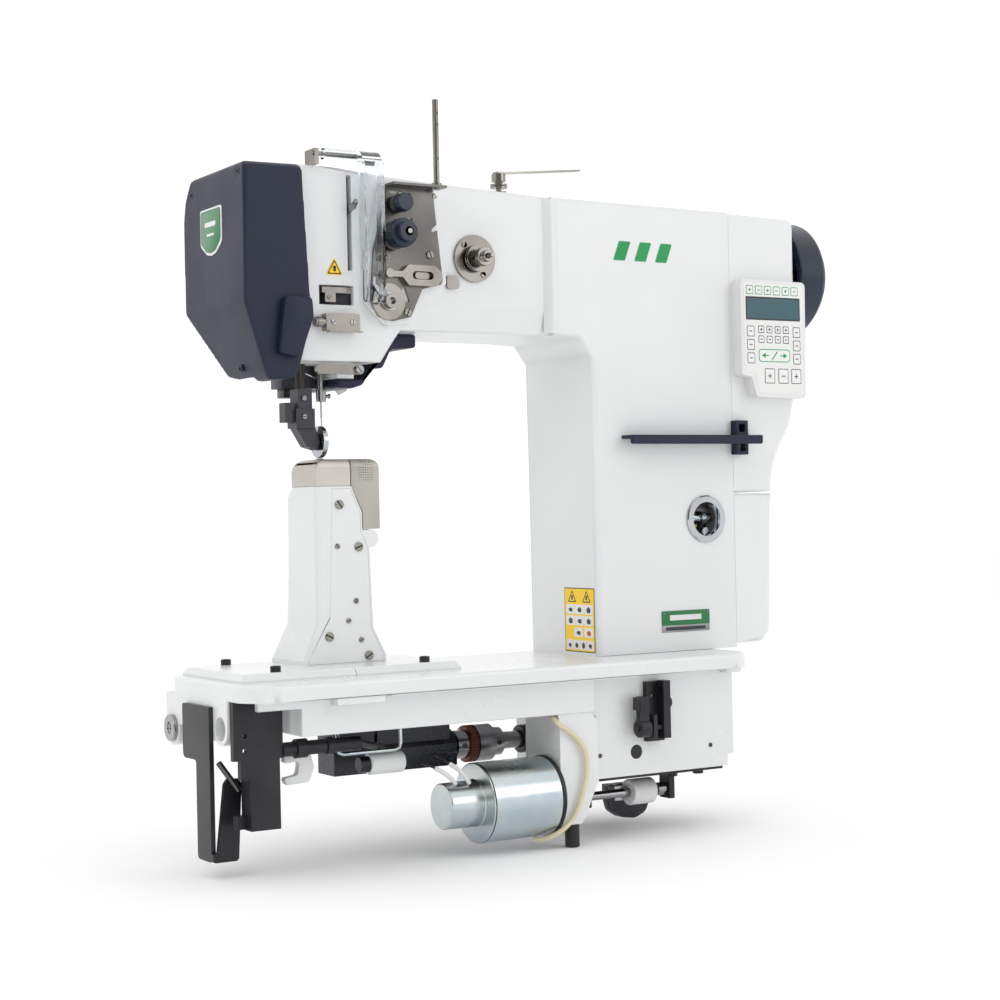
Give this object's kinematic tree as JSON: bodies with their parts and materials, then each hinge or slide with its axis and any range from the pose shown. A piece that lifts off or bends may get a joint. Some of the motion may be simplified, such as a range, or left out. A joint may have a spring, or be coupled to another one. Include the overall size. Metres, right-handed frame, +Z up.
{
  "type": "post bed leather sewing machine",
  "caption": "Post-bed sewing machine head for leather with a roller foot, feed wheel, rotary hook, column arm, handwheel, control panel and under-bed drive.",
  "frame": {"origin": "on the underside of the bed slab's front rim, halfway along the bed, where the head rests on its table cutout", "axes": "+X from the post towards the handwheel, +Y from the operator to the back, +Z up"},
  "size_m": [0.675, 0.185, 0.659],
  "materials": {
    "enamel": "gloss enamel over cast iron",
    "bed_enamel": "gloss enamel",
    "navy_plastic": "fine satin texture",
    "navy_wheel": "satin",
    "nickel": "satin nickel plate",
    "steel": "ground and oiled",
    "black_metal": "black oxide or black paint",
    "zinc": "blue zinc plate",
    "clear": "clear acrylic",
    "panel_plastic": "satin",
    "cream_pvc": "smooth flexible cable jacket",
    "black_rubber": "matt",
    "nylon": "natural nylon",
    "white_metal": "powder coat"
  },
  "bodies": {
    "head": {"bed": "bed_enamel", "insert_plates": "enamel", "post": "enamel", "post_cover": "enamel", "post_cap": "nickel", "shaft_bush": "black_metal", "shaft_housing": "black_metal", "timing_belt": "black_rubber", "arm": "enamel", "face_cover": "navy_plastic", "under_cover": "navy_plastic", "top_cover": "enamel", "thread_plate": "nickel", "tension_discs": "nickel", "thread_guides": "nickel", "thread_pin": "nickel", "upper_side_cover": "enamel", "lower_side_cover": "enamel", "control_panel": "panel_plastic", "hand_rest": "navy_plastic", "motor": "black_metal", "oil_window": "steel", "drive_box": "bed_enamel", "box_cover": "black_metal", "latch_bracket": "black_metal", "hinge_plug": "steel", "hanger_bracket": "black_metal", "channel_bracket": "black_metal", "solenoid": "zinc", "solenoid_bracket": "white_metal", "cable": "cream_pvc", "rubber_peg": "black_rubber", "black_screws": "black_metal", "nickel_screws": "nickel"},
    "upper_drive": {"handwheel": "navy_wheel", "upper_shaft": "steel", "upper_pulley": "steel"},
    "lower_drive": {"lower_shaft": "steel", "lower_pulley": "steel", "coupling_disc": "steel"},
    "hook_unit": {"hook": "steel", "hook_shaft": "steel"},
    "feed": {"feed_wheel": "steel"},
    "needle_unit": {"needle_bar": "steel", "needle": "steel"},
    "presser_unit": {"presser_bar": "steel", "foot_holder": "black_metal"},
    "roller_foot": {"roller": "steel"},
    "lifter": {"lifter_lever": "steel"},
    "take_up": {"take_up_lever": "steel"},
    "guard": {"eye_guard": "clear"},
    "main_nut": {"main_knob": "navy_plastic"},
    "small_nut": {"small_knob": "navy_plastic"},
    "pre_nut": {"pre_tension_nut": "nickel"},
    "spring_hook": {"check_spring": "steel"},
    "post_door": {"hook_cover": "nickel"},
    "latch": {"latch_lever": "black_metal"},
    "armature": {"plunger": "steel"},
    "rocker": {"rock_shaft": "steel"},
    "follower": {"nylon_roller": "nylon"}
  },
  "joints": [
    {"name": "handwheel_turn", "type": "hinge", "parent": "head", "child": "upper_drive", "pos_m": [0.3895, 0.112, 0.379], "axis": [1, 0, 0], "continuous": true},
    {"name": "lower_shaft_turn", "type": "hinge", "parent": "head", "child": "lower_drive", "pos_m": [0.0415, 0.112, -0.062], "axis": [1, 0, 0], "continuous": true},
    {"name": "hook_turn", "type": "hinge", "parent": "head", "child": "hook_unit", "pos_m": [-0.1115, 0.112, 0.184], "axis": [0, 0, 1], "continuous": true},
    {"name": "feed_wheel_turn", "type": "hinge", "parent": "head", "child": "feed", "pos_m": [-0.1363, 0.104, 0.184], "axis": [1, 0, 0], "continuous": true},
    {"name": "needle_bar_slide", "type": "slide", "parent": "head", "child": "needle_unit", "axis": [0, 0, 1], "range_m": [-0.034, 0]},
    {"name": "lifter_turn", "type": "hinge", "parent": "head", "child": "lifter", "pos_m": [-0.1335, 0.167, 0.314], "axis": [0, 1, 0], "range_deg": [0, 40]},
    {"name": "presser_lift", "type": "slide", "parent": "head", "child": "presser_unit", "axis": [0, 0, 1], "range_m": [0, 0.009]},
    {"name": "roller_turn", "type": "hinge", "parent": "presser_unit", "child": "roller_foot", "pos_m": [-0.1363, 0.104, 0.2143], "axis": [1, 0, 0], "continuous": true},
    {"name": "take_up_swing", "type": "hinge", "parent": "head", "child": "take_up", "pos_m": [-0.1245, 0.098, 0.406], "axis": [1, 0, 0], "range_deg": [-20, 40]},
    {"name": "eye_guard_swing", "type": "hinge", "parent": "head", "child": "guard", "pos_m": [-0.1185, 0.058, 0.458], "axis": [1, 0, 0], "range_deg": [-100, 0]},
    {"name": "main_tension_turn", "type": "hinge", "parent": "head", "child": "main_nut", "pos_m": [-0.0875, 0.034, 0.391], "axis": [0, 1, 0], "range_deg": [-360, 360]},
    {"name": "small_tension_turn", "type": "hinge", "parent": "head", "child": "small_nut", "pos_m": [-0.0835, 0.039, 0.418], "axis": [0, 1, 0], "range_deg": [-360, 360]},
    {"name": "pre_tension_turn", "type": "hinge", "parent": "head", "child": "pre_nut", "pos_m": [-0.0005, 0.042, 0.376], "axis": [0, 1, 0], "range_deg": [-360, 360]},
    {"name": "check_spring_swing", "type": "hinge", "parent": "head", "child": "spring_hook", "pos_m": [-0.093, 0.0496, 0.3336], "axis": [0, 1, 0], "range_deg": [-35, 0], "stiffness_Nm_per_rad": 0.02},
    {"name": "hook_cover_swing", "type": "hinge", "parent": "head", "child": "post_door", "pos_m": [-0.0985, 0.128, 0.129], "axis": [0, 1, 0], "range_deg": [0, 75]},
    {"name": "latch_swing", "type": "hinge", "parent": "head", "child": "latch", "pos_m": [0.1515, 0.001, -0.048], "axis": [1, 0, 0], "range_deg": [0, 60]},
    {"name": "plunger_slide", "type": "slide", "parent": "head", "child": "armature", "axis": [1, 0, 0], "range_m": [-0.008, 0], "stiffness_N_per_m": 300},
    {"name": "rock_shaft_swing", "type": "hinge", "parent": "head", "child": "rocker", "pos_m": [0.1415, 0.054, -0.113], "axis": [1, 0, 0], "range_deg": [-20, 20]},
    {"name": "nylon_roller_turn", "type": "hinge", "parent": "rocker", "child": "follower", "pos_m": [0.1635, 0.054, -0.113], "axis": [1, 0, 0], "continuous": true}
  ],
  "couplings": [
    {"joint": "lower_shaft_turn", "follows": "handwheel_turn", "ratio": 1},
    {"joint": "hook_turn", "follows": "handwheel_turn", "ratio": 2},
    {"joint": "roller_turn", "follows": "feed_wheel_turn", "ratio": -1.1429},
    {"joint": "presser_lift", "follows": "lifter_turn", "m_per_rad": 0.01289}
  ]
}
